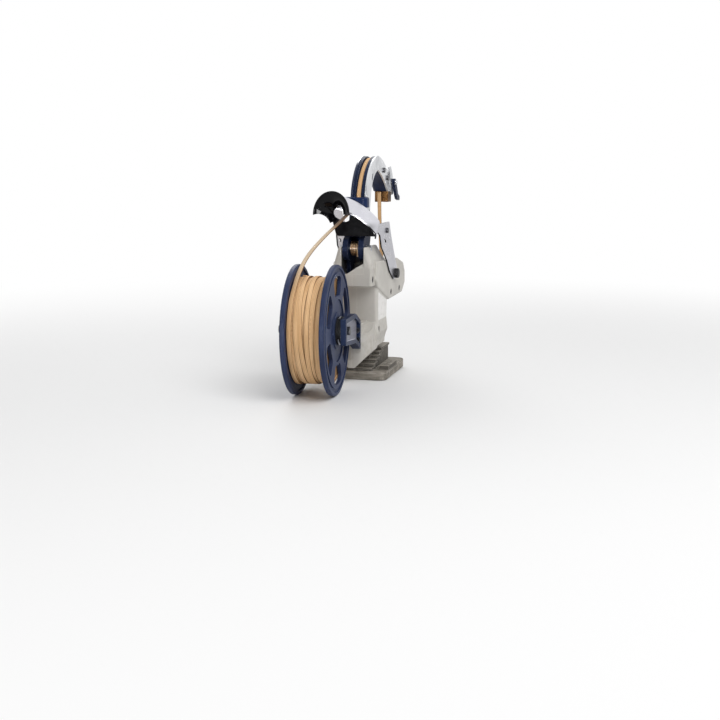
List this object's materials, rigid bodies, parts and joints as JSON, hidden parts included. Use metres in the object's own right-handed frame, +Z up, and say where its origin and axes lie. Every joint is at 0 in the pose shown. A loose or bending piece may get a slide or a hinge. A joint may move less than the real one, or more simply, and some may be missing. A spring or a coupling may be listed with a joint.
{
  "type": "electric vine tying tool",
  "caption": "Battery hand tool that wraps a ribbon from a rear spool round a shoot with a swinging hooked arm, then twists and cuts it.",
  "frame": {"origin": "on the floor under the grip, in the arm's plane", "axes": "+X to the right, +Y forward along the barrel, +Z up"},
  "size_m": [0.083, 0.2739, 0.2175],
  "materials": {
    "housing": "moulded, fine grain",
    "label": "bare label stock",
    "spool": "moulded satin",
    "paper": "kraft paper over wire",
    "black": "satin black",
    "blue": "powder coat",
    "bright": "polished sheet",
    "gloss": "gloss black",
    "steel": "brushed",
    "screw": "black oxide",
    "bronze": "oiled bronze",
    "copper": "copper-coloured spring wire",
    "board": "solder mask",
    "foot": "moulded, fine grain",
    "cell": "foil"
  },
  "bodies": {
    "body": {"housing_left": "housing", "housing_right": "housing", "housing_screws": "screw", "label_panel": "label", "spool_bracket": "blue", "bracket_screws": "screw", "spool_axle": "steel", "hub_collar": "black", "brake_clip": "steel", "guide_cover": "bright", "guide_panel": "gloss", "guide_trumpet": "gloss", "knob_screws": "black", "guide_rivets": "steel", "arm_pin": "steel", "return_spring": "copper", "arm_motor": "steel", "twist_motor": "steel", "gear_arbor": "steel", "idler_pin": "steel", "spindle_bushes": "bronze", "cutter_plate": "steel", "control_board": "board", "trigger_switch": "black", "trigger_spring": "steel", "terminal_block": "black", "tie_feed": "paper", "tie_bridge": "paper"},
    "arm": {"arm_core": "blue", "arm_plate_left": "steel", "arm_plate_right": "steel", "arm_screws": "screw", "tip_guide": "bronze", "tip_plate": "steel", "finger_pin": "steel", "arm_collar": "blue", "tie_wrap": "paper", "tie_loop": "paper"},
    "finger": {"tip_finger": "blue"},
    "spool": {"spool_core": "spool", "spool_flange_left": "spool", "spool_flange_right": "spool", "tie_pack": "paper", "tie_winding": "paper"},
    "cap": {"axle_cap": "black"},
    "drive": {"drive_gear": "steel", "drive_pinion": "steel"},
    "motor": {"motor_pinion": "steel"},
    "spindle": {"twist_spindle": "steel", "spindle_gear": "steel"},
    "idler": {"twist_idler": "steel"},
    "twist_drive": {"twist_pinion": "steel"},
    "trigger": {"trigger": "black"},
    "button": {"power_button": "black"},
    "battery": {"battery_tray": "foot", "battery_lid": "foot", "battery_cells": "cell", "battery_blades": "bronze"},
    "tab_left": {"release_tab_left": "foot"},
    "tab_right": {"release_tab_right": "foot"}
  },
  "joints": [
    {"name": "arm_swing", "type": "hinge", "parent": "body", "child": "arm", "pos_m": [0, -0.036, 0.129], "axis": [-1, 0, 0], "range_deg": [0, 33], "stiffness_Nm_per_rad": 0.35, "springref_deg": -28.65, "deforming": ["tie_bridge", "tie_loop", "return_spring"]},
    {"name": "drive_spin", "type": "hinge", "parent": "body", "child": "drive", "pos_m": [0, -0.0205, 0.10215], "axis": [1, 0, 0], "range_deg": [0, 137.6]},
    {"name": "motor_spin", "type": "hinge", "parent": "body", "child": "motor", "pos_m": [0, -0.00359, 0.096], "axis": [-1, 0, 0], "range_deg": [0, 275.2]},
    {"name": "finger_swing", "type": "hinge", "parent": "arm", "child": "finger", "pos_m": [0.0115, 0.077, 0.19], "axis": [-1, 0, 0], "range_deg": [-25, 10], "stiffness_Nm_per_rad": 0.05},
    {"name": "spool_spin", "type": "hinge", "parent": "body", "child": "spool", "pos_m": [-0.016, -0.115, 0.06], "axis": [0.9969, 0.0785, 0], "continuous": true},
    {"name": "cap_turn", "type": "hinge", "parent": "body", "child": "cap", "pos_m": [-0.016, -0.115, 0.06], "axis": [0.9969, 0.0785, 0], "continuous": true},
    {"name": "twist_spin", "type": "hinge", "parent": "body", "child": "spindle", "pos_m": [0, 0.07, 0.096], "axis": [0, 0, 1], "continuous": true},
    {"name": "idler_spin", "type": "hinge", "parent": "body", "child": "idler", "pos_m": [0, 0.052, 0.09], "axis": [0, 0, 1], "continuous": true},
    {"name": "twist_motor_spin", "type": "hinge", "parent": "body", "child": "twist_drive", "pos_m": [0, 0.038, 0.09], "axis": [0, 0, 1], "continuous": true},
    {"name": "trigger_pull", "type": "slide", "parent": "body", "child": "trigger", "axis": [0, -1, 0], "range_m": [0, 0.006], "stiffness_N_per_m": 400, "springref_m": -0.004, "deforming": ["trigger_spring"]},
    {"name": "power_press", "type": "slide", "parent": "body", "child": "button", "axis": [1, 0, 0], "range_m": [0, 0.0012], "stiffness_N_per_m": 500, "springref_m": -0.001},
    {"name": "battery_slide", "type": "slide", "parent": "body", "child": "battery", "axis": [0, 1, 0], "range_m": [0, 0.06]},
    {"name": "tab_left_press", "type": "slide", "parent": "battery", "child": "tab_left", "axis": [1, 0, 0], "range_m": [0, 0.003], "stiffness_N_per_m": 500, "springref_m": -0.001},
    {"name": "tab_right_press", "type": "slide", "parent": "battery", "child": "tab_right", "axis": [-1, 0, 0], "range_m": [0, 0.003], "stiffness_N_per_m": 500, "springref_m": -0.001}
  ],
  "couplings": [
    {"joint": "drive_spin", "follows": "arm_swing", "ratio": 4.1667},
    {"joint": "motor_spin", "follows": "arm_swing", "ratio": 8.3333},
    {"joint": "idler_spin", "follows": "twist_spin", "ratio": -1.25},
    {"joint": "twist_motor_spin", "follows": "twist_spin", "ratio": 1.6667}
  ]
}
